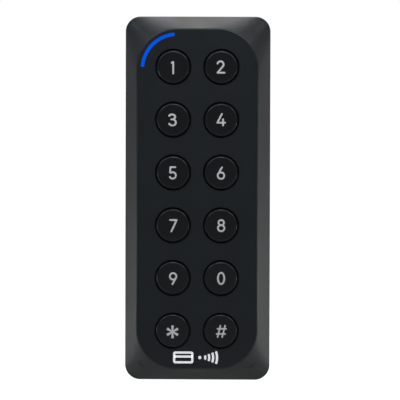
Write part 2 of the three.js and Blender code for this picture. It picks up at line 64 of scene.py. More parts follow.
HALF_WIDTH = 25
HALF_HEIGHT = 62.7
FRONT = 18.5  # face of the keypad panel
FIT = 0.1  # gap between two pieces that meet
RIM_REAR = 0.4
COVER_REAR = 0.5
RECESS_FLOOR = 3.2  # the rear cover's recess for the wall plate
COVER_FLOOR = 5.0
COVER_RIM = 8.5
SHOULDER = 9.7  # the bezel's shoulder that the seal presses on
BOARD_REAR = 9.9
BOARD_FRONT = 11.5
LEDGE_REAR = 15.4
LEDGE_FRONT = 16.8  # the ledge that carries the panel
PLATE_THICK = 1.2

PANEL_INSET = 4.3
PANEL_RADIUS = 13.8
PANEL_REAR = LEDGE_FRONT + FIT
CORNER_RADIUS = 5.2
RECESS_INSET = 4.4  # where the slope meets the panel, 0.2 further in than in the CAD
RECESS_RADIUS = PANEL_RADIUS + PANEL_INSET - RECESS_INSET

KEY_PITCH_X = 16.56
KEY_PITCH_Y = 18.16
KEY_RADIUS = 5.65
KEY_HOLE_RADIUS = 6.25
KEY_FLANGE_RADIUS = 6.95
KEY_FLANGE_THICK = 0.9
KEY_FLANGE_TOP = PANEL_REAR - 2 * FIT
KEY_CAVITY_RADIUS = 4.6
KEY_TOP = FRONT + 0.8
KEY_WALL = 1.7
KEY_LABELS = ["1", "2", "3", "4", "5", "6", "7", "8", "9", "0", "star", "hash"]
KEY_SPOTS = [
    (label, (0.5 if i % 2 else -0.5) * KEY_PITCH_X, (2.5 - i // 2) * KEY_PITCH_Y)
    for i, label in enumerate(KEY_LABELS)
]

ARC_X = -(HALF_WIDTH - PANEL_INSET - PANEL_RADIUS)
ARC_Y = HALF_HEIGHT - PANEL_INSET - PANEL_RADIUS
ARC_RADIUS = 12.04
ARC_WIDTH = 1.1
ARC_INNER = ARC_RADIUS - ARC_WIDTH / 2
ARC_OUTER = ARC_RADIUS + ARC_WIDTH / 2
ARC_FROM = 95
ARC_TO = 176

CASE_SCREW_X = 17.5
CASE_SCREW_Y = 55.5
CASE_SCREWS = [(sx * CASE_SCREW_X, sy * CASE_SCREW_Y) for sx in (-1, 1) for sy in (-1, 1)]
WALL_SLOT_PITCH = 83.3
CABLE_Y = -18
CABLE_RADIUS = 3.3
TAMPER_X = 11
TAMPER_Y = 12
TAMPER_TRAVEL = 1.4
LOCK_DEPTH = 4.2
LOCK_SEAT_Y = 1.45 - HALF_HEIGHT

# ------------ outlines

LONGEST_SIDE = 3  # fill_straights() divides anything longer


def arc(cx, cy, radius, start, end, step=4.0):
    """Points on an arc, from one angle to the other in degrees."""
    count = max(1, round(abs(end - start) / step))
    angles = [math.radians(start + (end - start) * i / count) for i in range(count + 1)]
    return [(cx + radius * math.cos(a), cy + radius * math.sin(a)) for a in angles]


def circle(radius, cx=0, cy=0, count=96):
    """Points round a circle."""
    angles = [2 * math.pi * i / count for i in range(count)]
    return [(cx + radius * math.cos(a), cy + radius * math.sin(a)) for a in angles]


def ellipse(cx, cy, radius_x, radius_y, count=72):
    """Points round an oval."""
    return [(cx + radius_x * x, cy + radius_y * y) for x, y in circle(1, count=count)]


def rounded_rect(half_width, half_height, radius, cx=0, cy=0, step=3.0):
    """Points round a rectangle with round corners."""
    x = half_width - radius
    y = half_height - radius
    points = []
    for turn, (dx, dy) in enumerate([(x, y), (-x, y), (-x, -y), (x, -y)]):
        points += arc(cx + dx, cy + dy, radius, 90 * turn, 90 * turn + 90, step)
    return points


def inset_outline(inset, radius, step=3.0):
    """The reader's outline, moved in."""
    return rounded_rect(HALF_WIDTH - inset, HALF_HEIGHT - inset, radius, step=step)


def fill_straights(outline, pieces=16, closed=True):
    """The outline with its long straights divided into pieces, shorter ones near their ends."""
    filled = []
    for (x0, y0), (x1, y1) in zip(outline, outline[1:] + outline[:1] if closed else outline[1:]):
        filled.append((x0, y0))
        if math.dist((x0, y0), (x1, y1)) > LONGEST_SIDE:
            shares = [(1 - math.cos(math.pi * i / pieces)) / 2 for i in range(1, pieces)]
            filled += [(x0 + (x1 - x0) * share, y0 + (y1 - y0) * share) for share in shares]
    return filled if closed else filled + outline[-1:]


def filleted(corners, closed=False, step=12.0):
    """A path through (u, v, fillet radius) corners, with an arc at each one that has a radius."""
    path = []
    last = len(corners) - 1
    for i, (u, v, radius) in enumerate(corners):
        if radius == 0 or (not closed and i in (0, last)):
            path.append((u, v))
            continue
        here = Vector((u, v))
        before = (Vector(corners[i - 1][:2]) - here).normalized()
        after = (Vector(corners[(i + 1) % len(corners)][:2]) - here).normalized()
        opening = before.angle(after)
        reach = radius / math.tan(opening / 2)
        centre = here + (before + after).normalized() * (radius / math.sin(opening / 2))
        first = here + before * reach - centre
        turn = first.angle_signed(here + after * reach - centre)
        count = max(2, round(abs(math.degrees(turn)) / step))
        for k in range(count + 1):
            spoke = first.copy()
            spoke.rotate(Matrix.Rotation(-turn * k / count, 2))
            path.append(tuple(centre + spoke))
    return path


def union(polygons):
    """The outlines of overlapping polygons taken together, holes included."""
    points = [Vector(p) for polygon in polygons for p in polygon]
    faces = []
    start = 0
    for polygon in polygons:
        faces.append(list(range(start, start + len(polygon))))
        start += len(polygon)
    verts, _, triangles, _, _, owners = delaunay_2d_cdt(points, [], faces, 0, 1e-5)
    sides = {}
    for triangle, owner in zip(triangles, owners):
        if owner:
            for a, b in zip(triangle, list(triangle[1:]) + [triangle[0]]):
                sides[a, b] = True
    following = {a: b for a, b in sides if (b, a) not in sides}
    loops = []
    while following:
        a = next(iter(following))
        loop = []
        while a in following:
            loop.append(tuple(verts[a]))
            a = following.pop(a)
        loops.append(loop)
    return loops


# ------------ meshes

ON_AXIS = 1e-6
WELD_DISTANCE = 1e-4


def mesh_of(vertices, faces):
    """A mesh from its vertices and faces."""
    mesh = bpy.data.meshes.new("shape")
    mesh.from_pydata(vertices, [], faces)
    mesh.validate()
    return mesh


def rings(loops, cap=True, closed=False):
    """A solid skinned over loops of [(x, y, z), ...] with the same number of points each."""
    count = len(loops[0])
    vertices = [p for loop in loops for p in loop]
    faces = []
    for i in range(len(loops) if closed else len(loops) - 1):
        here = i * count
        beyond = ((i + 1) % len(loops)) * count
        for j in range(count):
            k = (j + 1) % count
            faces.append((here + j, here + k, beyond + k, beyond + j))
    if cap:
        faces.append(tuple(range(count))[::-1])
        faces.append(tuple(range((len(loops) - 1) * count, len(loops) * count)))
    return mesh_of(vertices, faces)


def turned(profile, segments=96):
    """A round solid about the z axis.

    The profile of (radius, z) starts and ends on the axis, or is closed into a ring.
    """
    vertices = []
    rows = []
    for radius, z in profile:
        if radius < ON_AXIS:
            rows.append([len(vertices)] * segments)
            vertices.append((0, 0, z))
        else:
            rows.append(list(range(len(vertices), len(vertices) + segments)))
            vertices += [(x, y, z) for x, y in circle(radius, count=segments)]
    if profile[0][0] > ON_AXIS:
        rows.append(rows[0])
    faces = []
    for low, high in zip(rows, rows[1:]):
        for j in range(segments):
            k = (j + 1) % segments
            quad = [low[j], low[k], high[k], high[j]]
            faces.append(tuple(dict.fromkeys(quad)))
    return mesh_of(vertices, [f for f in faces if len(f) > 2])


def plate(outlines, z0, z1, bevel=0.0, rounds=2):
    """A flat piece between two depths. Outlines inside others are holes. The bevel eases both rims."""
    curve = bpy.data.curves.new("outline", "CURVE")
    curve.dimensions = "2D"
    curve.fill_mode = "BOTH"
    for outline in outlines:
        spline = curve.splines.new("POLY")
        spline.points.add(len(outline) - 1)
        for point, (x, y) in zip(spline.points, outline):
            point.co = (x, y, 0, 1)
        spline.use_cyclic_u = True
    curve.extrude = (z1 - z0) / 2 - bevel
    curve.bevel_depth = bevel
    curve.bevel_resolution = rounds
    curve.offset = -bevel
    holder = bpy.data.objects.new("outline", curve)
    bpy.context.scene.collection.objects.link(holder)
    view = bpy.context.evaluated_depsgraph_get()
    mesh = bpy.data.meshes.new_from_object(holder.evaluated_get(view))
    bpy.data.objects.remove(holder)
    bpy.data.curves.remove(curve)
    weld(mesh)
    mesh.transform(Matrix.Translation((0, 0, (z0 + z1) / 2)))
    return mesh


def weld(mesh):
    """Merges vertices that coincide and drops slivers."""
    edit = bmesh.new()
    edit.from_mesh(mesh)
    bmesh.ops.remove_doubles(edit, verts=edit.verts, dist=WELD_DISTANCE)
    bmesh.ops.dissolve_degenerate(edit, edges=edit.edges, dist=WELD_DISTANCE)
    edit.to_mesh(mesh)
    edit.free()
    return mesh


def box(x, y, width, height, z0, z1):
    """A box centred on (x, y), as a mesh."""
    sides = [(-1, -1), (1, -1), (1, 1), (-1, 1)]
    outline = [(x + sx * width / 2, y + sy * height / 2) for sx, sy in sides]
    return rings([[(u, v, z) for u, v in outline] for z in (z0, z1)])


def rod(radius, z0, z1, x=0, y=0, segments=64):
    """A round bar along z."""
    return moved(turned([(0, z0), (radius, z0), (radius, z1), (0, z1)], segments), x, y)


def moved(mesh, x=0, y=0, z=0):
    """The mesh shifted in the face frame."""
    mesh.transform(Matrix.Translation((x, y, z)))
    return mesh


def joined(meshes):
    """Several shells in one mesh."""
    edit = bmesh.new()
    for mesh in meshes:
        edit.from_mesh(mesh)
    whole = bpy.data.meshes.new("shape")
    edit.to_mesh(whole)
    edit.free()
    return whole


def combined(mesh, tools, operation):
    """The mesh with each tool joined to it ("UNION") or cut out of it ("DIFFERENCE")."""
    scene = bpy.context.scene
    body = bpy.data.objects.new("body", mesh)
    scene.collection.objects.link(body)
    helpers = []
    for tool in tools:
        helper = bpy.data.objects.new("tool", tool)
        scene.collection.objects.link(helper)
        helpers.append(helper)
        step = body.modifiers.new("step", "BOOLEAN")
        step.solver = "EXACT"
        step.operation = operation
        step.object = helper
    view = bpy.context.evaluated_depsgraph_get()
    result = bpy.data.meshes.new_from_object(body.evaluated_get(view))
    for helper in [body] + helpers:
        bpy.data.objects.remove(helper)
    return weld(result)


def cut(mesh, tools):
    """The mesh less its tools."""
    return combined(mesh, tools, "DIFFERENCE")


def add_to(mesh, tools):
    """The mesh with its tools joined on."""
    return combined(mesh, tools, "UNION")


# ------------ pieces

SHARP_ANGLE = math.radians(32)


def piece(name, mesh, finish, body=ROOT, replaces=(), weighted=True):
    """Stands a face-frame mesh up as a finished piece that rides on a body.

    The finish is one of MATERIALS.
    """
    mesh.transform(TO_ROW)
    mesh.name = name
    mesh.materials.clear()
    mesh.materials.append(MATERIALS[finish])
    mesh.shade_smooth()
    mesh.set_sharp_from_angle(angle=SHARP_ANGLE)
    obj = bpy.data.objects.new(name, mesh)
    bpy.context.scene.collection.objects.link(obj)
    if weighted:
        normals = obj.modifiers.new("even_normals", "WEIGHTED_NORMAL")
        normals.keep_sharp = True
    if body:
        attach(obj, body)
    if replaces:
        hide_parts(*replaces)
    return obj


# ------------ materials

# Clouds, grain and tracks, as features to the metre.
COLOUR_DRIFT = 55
GLOSS_DRIFT = 190
GLOW_DRIFT = 260
GUIDE_GRAIN = 3000
ZINC_CLOUDS = 320
DRAWN_LINES = 900
METAL_SPOTS = 700
TOOL_MARKS = 5200
BOARD_TRACKS = 260
GLOSS_SPREAD = 0.05
RAMP_FROM = 0.3  # noise below this gives the darker colour
RAMP_TO = 0.7  # and above this the lighter one


def material(name, colour, roughness, metallic=0.0):
    """A node material, its Principled shader and its node tree."""
    made = bpy.data.materials.new(name)
    made.use_nodes = True
    shader = made.node_tree.nodes["Principled BSDF"]
    shader.inputs["Base Color"].default_value = (*colour, 1)
    shader.inputs["Roughness"].default_value = roughness
    shader.inputs["Metallic"].default_value = metallic
    return made, shader, made.node_tree


def node(tree, kind, **inputs):
    """A new node with its inputs set; an input that is a socket is linked."""
    made = tree.nodes.new(kind)
    for key, value in inputs.items():
        socket = made.inputs[key.replace("_", " ")]
        if isinstance(value, bpy.types.NodeSocket):
            tree.links.new(value, socket)
        else:
            socket.default_value = value
    return made


def object_place(tree, stretch=(1, 1, 1), shift=(0, 0, 0)):
    """The point on the piece, in metres, stretched along the axes and then moved."""
    place = tree.nodes.new("ShaderNodeTexCoord")
    mapping = node(tree, "ShaderNodeMapping", Vector=place.outputs["Object"], Location=shift)
    mapping.inputs["Scale"].default_value = stretch
    return mapping.outputs["Vector"]


def noise(tree, scale, detail=3.0, stretch=(1, 1, 1), roughness=0.5):
    """A cloudy 0 to 1 value, with scale features to the metre."""
    place = object_place(tree, stretch)
    made = node(tree, "ShaderNodeTexNoise", Vector=place, Scale=scale, Detail=detail, Roughness=roughness)
    return made.outputs["Fac"]


def remap(tree, value, low, high):
    """A 0 to 1 value put between low and high."""
    made = node(tree, "ShaderNodeMapRange", Value=value)
    made.inputs["To Min"].default_value = low
    made.inputs["To Max"].default_value = high
    return made.outputs["Result"]


def tint(tree, value, colour, darkest, lightest):
    """The colour made darker or lighter, between two factors, by a 0 to 1 value."""
    ramp = tree.nodes.new("ShaderNodeValToRGB")
    ramp.color_ramp.elements[0].position = RAMP_FROM
    ramp.color_ramp.elements[1].position = RAMP_TO
    ramp.color_ramp.elements[0].color = (*scaled(colour, darkest), 1)
    ramp.color_ramp.elements[1].color = (*scaled(colour, lightest), 1)
    tree.links.new(value, ramp.inputs["Fac"])
    return ramp.outputs["Color"]


def bump(tree, height, strength, depth_mm):
    """A surface direction that a 0 to 1 height roughens."""
    made = node(tree, "ShaderNodeBump", Height=height, Strength=strength, Distance=depth_mm * MM)
    return made.outputs["Normal"]


def scaled(colour, factor):
    """The colour made lighter or darker."""
    return tuple(min(1, c * factor) for c in colour)


def moulded(
    name, colour, roughness, grain_mm=0.28, grain_depth=0.012, variation=0.1, specular=0.5, glow=0.0
):
    """Plastic from a spark-eroded mould: a fine grain, and slow drifts in colour and gloss."""
    made, shader, tree = material(name, colour, roughness)
    colours = tint(tree, noise(tree, COLOUR_DRIFT, 4), colour, 1 - variation, 1 + variation)
    tree.links.new(colours, shader.inputs["Base Color"])
    # The same colour is fed to the emission: a glow above 0 paints light into the plastic, which is no lamp.
    tree.links.new(colours, shader.inputs["Emission Color"])
    shader.inputs["Emission Strength"].default_value = glow
    gloss = remap(tree, noise(tree, GLOSS_DRIFT, 3), roughness - GLOSS_SPREAD, roughness + GLOSS_SPREAD)
    tree.links.new(gloss, shader.inputs["Roughness"])
    grain = noise(tree, 1 / (grain_mm * MM), 2, roughness=0.6)
    tree.links.new(bump(tree, grain, 0.6, grain_depth), shader.inputs["Normal"])
    shader.inputs["Specular IOR Level"].default_value = specular
    return made


def light_material():
    """The light guide: blue and lit from behind, a little uneven along its length."""
    glow = (0.0, 0.094, 0.81)
    made, shader, tree = material("lit_blue", scaled(glow, 0.12), 0.3)
    uneven = tint(tree, noise(tree, GLOW_DRIFT, 2), glow, 0.95, 1.03)
    tree.links.new(uneven, shader.inputs["Emission Color"])
    shader.inputs["Emission Strength"].default_value = 0.91
    shader.inputs["Specular IOR Level"].default_value = 0.03
    tree.links.new(bump(tree, noise(tree, GUIDE_GRAIN, 2), 0.3, 0.01), shader.inputs["Normal"])
    return made


def steel(name, colour, roughness):
    """Zinc-plated sheet: cloudy, with fine lines drawn across it."""
    made, shader, tree = material(name, colour, roughness, 1.0)
    cloud = noise(tree, ZINC_CLOUDS, 4)
    tree.links.new(tint(tree, cloud, colour, 0.86, 1.08), shader.inputs["Base Color"])
    lines = noise(tree, DRAWN_LINES, 5, stretch=(1, 1, 40))
    tree.links.new(remap(tree, lines, roughness - 0.1, roughness + 0.12), shader.inputs["Roughness"])
    tree.links.new(bump(tree, lines, 0.35, 0.008), shader.inputs["Normal"])
    return made


def turned_metal(name, colour, roughness):
    """Machined metal with fine marks left by the tool."""
    made, shader, tree = material(name, colour, roughness, 1.0)
    spots = noise(tree, METAL_SPOTS, 3)
    tree.links.new(tint(tree, spots, colour, 0.9, 1.05), shader.inputs["Base Color"])
    fine = noise(tree, TOOL_MARKS, 3)
    tree.links.new(remap(tree, fine, roughness - 0.08, roughness + 0.1), shader.inputs["Roughness"])
    tree.links.new(bump(tree, fine, 0.25, 0.006), shader.inputs["Normal"])
    return made


def circuit_board():
    """Green solder resist over fine copper tracks."""
    resist = (0.012, 0.1, 0.035)
    made, shader, tree = material("solder_resist", resist, 0.35)
    tracks = node(tree, "ShaderNodeTexBrick", Vector=object_place(tree), Scale=BOARD_TRACKS)
    tracks.inputs["Color1"].default_value = (*scaled(resist, 1.5), 1)
    tracks.inputs["Color2"].default_value = (*resist, 1)
    tracks.inputs["Mortar"].default_value = (*scaled(resist, 0.6), 1)
    tree.links.new(tracks.outputs["Color"], shader.inputs["Base Color"])
    tree.links.new(bump(tree, tracks.outputs["Fac"], 0.5, 0.02), shader.inputs["Normal"])
    return made


MATERIALS = {
    "bezel": moulded("bezel_plastic", (0.0165, 0.0180, 0.0190), 0.46, grain_mm=0.45, grain_depth=0.05),
    "panel": moulded("panel_plastic", (0.0120, 0.0157, 0.0176), 0.5, grain_mm=0.22),
    "key": moulded(
        "key_plastic", (0.0122, 0.0142, 0.0154), 0.32, grain_mm=0.2, grain_depth=0.008, specular=0.42
    ),
    "legend": moulded(
        "legend_plastic", (0.92, 0.90, 0.88), 0.5, grain_mm=0.2, grain_depth=0.004, variation=0.03
    ),
    "status_light": light_material(),
    "silicone": moulded("silicone_rubber", (0.28, 0.31, 0.33), 0.65, grain_mm=0.4, grain_depth=0.01),
    "carbon": moulded("carbon_rubber", (0.006, 0.006, 0.006), 0.75, grain_mm=0.15, grain_depth=0.01),
    "circuit_board": circuit_board(),
    "chip": moulded("chip_epoxy", (0.01, 0.01, 0.01), 0.6, grain_mm=0.12, grain_depth=0.01),
    "header": moulded("header_nylon", (0.81, 0.78, 0.66), 0.5, grain_mm=0.3, variation=0.04),
    "lamp": moulded("lamp_resin", (0.89, 0.86, 0.76), 0.25, grain_mm=0.3, grain_depth=0.003, variation=0.04),
    "copper": turned_metal("bare_copper", (0.64, 0.3, 0.16), 0.35),
    "cover": moulded("cover_plastic", (0.018, 0.02, 0.021), 0.58, grain_mm=0.35, grain_depth=0.02),
    "rubber": moulded("grommet_rubber", (0.008, 0.008, 0.008), 0.78, grain_mm=0.25, grain_depth=0.015),
    "plate": steel("zinc_plate", (0.5, 0.51, 0.52), 0.38),
    "screw": turned_metal("stainless_steel", (0.46, 0.47, 0.48), 0.28),
    "nylon": moulded(
        "plunger_nylon", (0.75, 0.72, 0.63), 0.42, grain_mm=0.3, grain_depth=0.006, variation=0.04
    ),
    # The white ink's glow of 0.45 is painted light: the printed mark shines though it is no lamp.
    "print": moulded(
        "white_ink_painted_glow", (0.9, 0.9, 0.9), 0.55, grain_mm=0.15, grain_depth=0.003, variation=0.02, glow=0.45
    ),
}

# ------------ front bezel

SKIRT_FRONT = 12.2
SLOPE_REAR = SKIRT_FRONT + 0.2  # the slope starts here, past its rounded foot
SKIRT_NARROWING = 0.8  # how fast the skirt's corner radius shrinks with the inset
CORNER_OPENING = 0.6  # below 1, the radius grows fastest at the foot of the slope
CORNER_SWELL = 6
SLOPE_INSET = 4.08
SLOPE_FRONT = 18.32
BOSS_RADIUS = 3
BOSS_BORE_RADIUS = 1.3
BOSS_BORE_FRONT = 12
LOCK_HEAD_BORE_RADIUS = 2.9
LOCK_SHANK_BORE_RADIUS = 1.65
LOCK_BORE_OUTER = -64  # beyond the lower edge
LOCK_BORE_INNER = -59

# How the shading turns round the outside's corners.
CORNER_REACH = 4.8  # distance from the corner over which it turns, at the outer edge
REACH_GROWTH = 2.2  # and how much that grows with each millimetre of inset
TURN_SHARPNESS = 2.4
CORNER_EASE = 1.5  # how far the corners' shading leans to the front
OUTSIDE_TOLERANCE = 0.5
OUTSIDE_AGREEMENT = 0.6  # least cosine between a face on the outside and the shading there


def bezel_radius(inset, z):
    """The corner radius of the bezel's outside: nearly even on the skirt, and growing up the slope."""
    if z < SLOPE_REAR:
        return CORNER_RADIUS - inset * SKIRT_NARROWING
    along = inset / RECESS_INSET
    opened = (RECESS_RADIUS - CORNER_RADIUS) * along ** CORNER_OPENING
    return CORNER_RADIUS + opened + CORNER_SWELL * along * (1 - along)


# From the rear rim to the ledge, as (inset, z, fillet radius).
outside = fill_straights(
    filleted(
        [
            (1.4, RIM_REAR, 0),
            (0.6, RIM_REAR, 0.25),
            (0.0, SKIRT_FRONT, 1.3),
            (SLOPE_INSET, SLOPE_FRONT, 1.2),
            (RECESS_INSET, FRONT, 0.03),
            (RECESS_INSET, LEDGE_FRONT, 0),
        ],
        step=7,
    ),
    pieces=6,
    closed=False,
)
# From the ledge back to the rear rim, as (inset, corner radius, z).
inside = [
    (5.2, 12.9, LEDGE_FRONT),  # the ledge
    (5.2, 12.9, LEDGE_REAR),
    (4.2, 9.6, LEDGE_REAR),  # the slope's inner side
    (2.3, 4.4, 11.8),
    (2.3, 4.2, 10.9),  # the shoulder
    (3.9, 2.8, 10.9),
    (3.9, 2.8, SHOULDER),
    (2.3, 4.0, SHOULDER),  # the skirt's inner side
    (2.2, 3.4, RIM_REAR),
]
section = [(inset, bezel_radius(inset, z), z) for inset, z in outside] + inside
bezel_loops = [
    [(x, y, z) for x, y in fill_straights(inset_outline(inset, radius))] for inset, radius, z in section
]


def upward(mesh, y=0):
    """A solid drawn along z, turned to point up the face at the lock screw's depth."""
    mesh.transform(Matrix.Translation((0, y, LOCK_DEPTH)) @ Matrix.Rotation(-math.pi / 2, 4, "X"))
    return mesh


def lock_rod(radius, y0, y1, segments=64):
    """A rod up the face, at the lock screw's depth."""
    return upward(rod(radius, y0, y1, segments=segments))


def bezel_shape():
    """The bezel with its four screw bosses, and the lock screw's way in from below."""
    bosses = [rod(BOSS_RADIUS, COVER_FLOOR + FIT, LEDGE_REAR - FIT, x, y, 48) for x, y in CASE_SCREWS]
    bores = [rod(BOSS_BORE_RADIUS, COVER_FLOOR, BOSS_BORE_FRONT, x, y, 32) for x, y in CASE_SCREWS]
    lock_bores = [
        lock_rod(LOCK_HEAD_BORE_RADIUS, LOCK_BORE_OUTER, LOCK_SEAT_Y),
        lock_rod(LOCK_SHANK_BORE_RADIUS, LOCK_BORE_OUTER, LOCK_BORE_INNER, 48),
    ]
    return cut(add_to(rings(bezel_loops, cap=False, closed=True), bosses), bores + lock_bores)


def outside_leans():
    """The outside's section from rear to front, as (z, inset, outward lean, forward lean)."""
    climb = outside[1:-1]
    slopes = [Vector((z1 - z0, inset1 - inset0)) for (inset0, z0), (inset1, z1) in zip(climb, climb[1:])]
    slopes = slopes[:1] + slopes + slopes[-1:]
    leans = [(before + after).normalized() for before, after in zip(slopes, slopes[1:])]
    return [(z, inset, lean.x, lean.y) for (inset, z), lean in zip(climb, leans)]


OUTSIDE_LEANS = outside_leans()


def outside_at(depth):
    """The section at one depth, as (inset, outward lean, forward lean)."""
    for low, high in zip(OUTSIDE_LEANS, OUTSIDE_LEANS[1:]):
        if depth <= high[0]:
            share = max(0, depth - low[0]) / (high[0] - low[0])
            return [a + (b - a) * share for a, b in zip(low[1:], high[1:])]
    return OUTSIDE_LEANS[-1][1:]


def outside_normal(x, y, z):
    """The shading direction on the outside. It turns slowly round the corners, so they have no creases."""
    inset, outward, forward = outside_at(z)
    reach = CORNER_REACH + REACH_GROWTH * inset
    pull_x = math.exp(-(((HALF_WIDTH - abs(x)) / reach) ** 2))
    pull_y = math.exp(-(((HALF_HEIGHT - abs(y)) / reach) ** 2))
    turn_x = math.copysign(pull_x ** TURN_SHARPNESS, x)
    turn_y = math.copysign(pull_y ** TURN_SHARPNESS, y)
    turn = Vector((turn_x, turn_y)).normalized()
    eased = forward * (1 + CORNER_EASE * pull_x * pull_y)
    return Vector((turn.x * outward, turn.y * outward, eased)).normalized()


def on_outside(x, y, z):
    """Whether a point lies on the bezel's outside."""
    inset = outside_at(z)[0]
    radius = bezel_radius(inset, z)
    over_x = abs(x) - (HALF_WIDTH - inset - radius)
    over_y = abs(y) - (HALF_HEIGHT - inset - radius)
    reach = math.hypot(max(over_x, 0), max(over_y, 0)) + min(max(over_x, over_y), 0)
    return z > RIM_REAR + 0.01 and abs(reach - radius) < OUTSIDE_TOLERANCE


def ease_outside(mesh):
    """Gives the outside faces their own shading directions, and leaves the rest as they are."""
    back_to_face = TO_ROW.inverted()
    directions = []
    for face in mesh.polygons:
        middle = back_to_face @ face.center
        facing = (back_to_face.to_3x3() @ face.normal).normalized()
        agreement = facing.dot(outside_normal(*middle))
        outer = on_outside(*middle) and agreement > OUTSIDE_AGREEMENT
        for i in face.vertices:
            corner = back_to_face @ mesh.vertices[i].co
            direction = outside_normal(*corner) if outer else Vector((0, 0, 0))
            directions.append((TO_ROW.to_3x3() @ direction).normalized())
    mesh.normals_split_custom_set(directions)


bezel = piece("bezel_moulding", bezel_shape(), "bezel", replaces=["front_bezel"], weighted=False)
ease_outside(bezel.data)

# ------------ keypad panel

PANEL_GAP = 0.03
SLOT_END_GAP = 0.15  # degrees, at each end of the light's slot


def ring_stretch(inner, outer, start, end):
    """A stretch of ring about the status light's centre."""
    return arc(ARC_X, ARC_Y, outer, start, end, 3) + arc(ARC_X, ARC_Y, inner, end, start, 3)


light_slot = ring_stretch(
    ARC_INNER - PANEL_GAP, ARC_OUTER + PANEL_GAP, ARC_FROM - SLOT_END_GAP, ARC_TO + SLOT_END_GAP
)
panel_mesh = plate(
    [inset_outline(RECESS_INSET + PANEL_GAP, RECESS_RADIUS - PANEL_GAP, 2), light_slot]
    + [circle(KEY_HOLE_RADIUS, x, y) for _, x, y in KEY_SPOTS],
    PANEL_REAR,
    FRONT,
    bevel=0.04,
)
piece("panel_moulding", panel_mesh, "panel", replaces=["keypad_panel"])

# ------------ keys

STROKE = 0.62
HASH_STROKE = 0.57
STAR_ARM_LENGTH = 2.2
STAR_ARM_SHOULDER = 1.75
STAR_HUB_HALF_WIDTH = 0.24
STAR_TIP_HALF_WIDTH = 0.44
STAR_DROP = 0.39
LEGEND_REAR = KEY_TOP - 0.04
LEGEND_FRONT = KEY_TOP + 0.05


def line(x0, y0, x1, y1, width=STROKE):
    """A straight stroke with round ends."""
    angle = math.degrees(math.atan2(y1 - y0, x1 - x0))
    half = width / 2
    return arc(x1, y1, half, angle - 90, angle + 90, 12) + arc(x0, y0, half, angle + 90, angle + 270, 12)


def bow(cx, cy, radius, start, end, wide=1.0):
    """A curved stroke with round ends, counterclockwise from start to end, widened about its centre."""
    half = STROKE / 2
    tip = arc(cx, cy, radius, end, end)[0]
    tail = arc(cx, cy, radius, start, start)[0]
    outline = (
        arc(cx, cy, radius + half, start, end, 6)
        + arc(*tip, half, end, end + 180, 12)[1:-1]
        + arc(cx, cy, radius - half, end, start, 6)
        + arc(*tail, half, start + 180, start + 360, 12)[1:-1]
    )
    return [(cx + (x - cx) * wide, y) for x, y in outline]


def star_arm(angle):
    """One arm of the asterisk, widening to its blunt tip."""
    side = [
        (STAR_HUB_HALF_WIDTH, 0),
        (STAR_TIP_HALF_WIDTH, STAR_ARM_SHOULDER),
        (STAR_TIP_HALF_WIDTH, STAR_ARM_LENGTH),
    ]
    shape = side + [(-x, y) for x, y in reversed(side)]
    turn = math.radians(angle)
    return [
        (x * math.cos(turn) - y * math.sin(turn), x * math.sin(turn) + y * math.cos(turn) - STAR_DROP)
        for x, y in shape
    ]


def ring_loops(cx, cy, radius_x, radius_y):
    """A closed oval stroke: its outer and inner outline."""
    half = STROKE / 2
    outer = ellipse(cx, cy, radius_x + half, radius_y + half)
    inner = ellipse(cx, cy, radius_x - half, radius_y - half)
    return [outer, inner]


def quarter_bows(cx, cy, radius_x, radius_y):
    """A closed oval stroke as two overlapping polygons, for joining to others."""
    outer, inner = ring_loops(cx, cy, radius_x, radius_y)
    half = len(outer) // 2
    upper = outer[: half + 1] + inner[: half + 1][::-1]
    lower = outer[half:] + outer[:1] + inner[:1] + inner[half:][::-1]
    return [upper, lower]


# Each character's strokes, about the key's centre.
STROKES = {
    "1": [line(0, 1.66, 0, -2.23), line(0, 1.66, -0.5, 1.4)],
    "2": [bow(-0.3, 0.9, 1.05, -38, 165), line(0.53, 0.25, -1.33, -1.96), line(-1.33, -1.96, 1.04, -1.96)],
    "3": [
        bow(-0.36, 0.96, 0.84, -90, 155, wide=1.24),
        line(-0.6, 0.12, -0.25, 0.12),
        bow(-0.22, -0.945, 1.065, -155, 90, wide=1.11),
    ],
    "4": [line(0.2, 2.0, -1.33, -0.98), line(-1.33, -0.98, 1.29, -0.98), line(0.64, 0.2, 0.64, -1.93)],
    "5": [line(-0.85, 1.84, 0.8, 1.84), line(-0.85, 1.84, -1.0, 0.1), bow(-0.1, -1.0, 1.1, -150, 128)],
    "6": quarter_bows(-0.03, -1.0, 1.11, 1.11) + [line(0.3, 1.84, -1.0, -0.46)],
    "7": [line(-0.97, 1.8, 1.32, 1.8), line(1.32, 1.8, -0.5, -2.1)],
    "8": quarter_bows(0.1, 0.98, 0.93, 0.87) + quarter_bows(0.1, -0.93, 1.12, 1.03),
    "9": quarter_bows(0.15, 0.57, 1.11, 1.11) + [line(-0.1, -2.12, 1.12, 0.02)],
    "0": quarter_bows(0.11, -0.07, 1.1, 1.93),
    "star": [star_arm(angle) for angle in range(0, 360, 60)],
    "hash": [
        line(-1.02, -2.12, -0.08, 1.8, HASH_STROKE),
        line(0.53, -2.12, 1.53, 1.8, HASH_STROKE),
        line(-1.05, 0.72, 1.85, 0.72, HASH_STROKE),
        line(-1.35, -1.05, 1.55, -1.05, HASH_STROKE),
    ],
}

cap_outside = filleted(
    [
        (KEY_FLANGE_RADIUS, KEY_FLANGE_TOP - KEY_FLANGE_THICK, 0),
        (KEY_FLANGE_RADIUS, KEY_FLANGE_TOP, 0.2),
        (KEY_RADIUS, KEY_FLANGE_TOP, 0.15),
        (KEY_RADIUS, KEY_TOP, 0.7),
        (0, KEY_TOP, 0),
    ],
)
cap_profile = [
    (0, KEY_TOP - KEY_WALL),
    (KEY_CAVITY_RADIUS, KEY_TOP - KEY_WALL),
    (KEY_CAVITY_RADIUS, KEY_FLANGE_TOP - KEY_FLANGE_THICK),
] + cap_outside

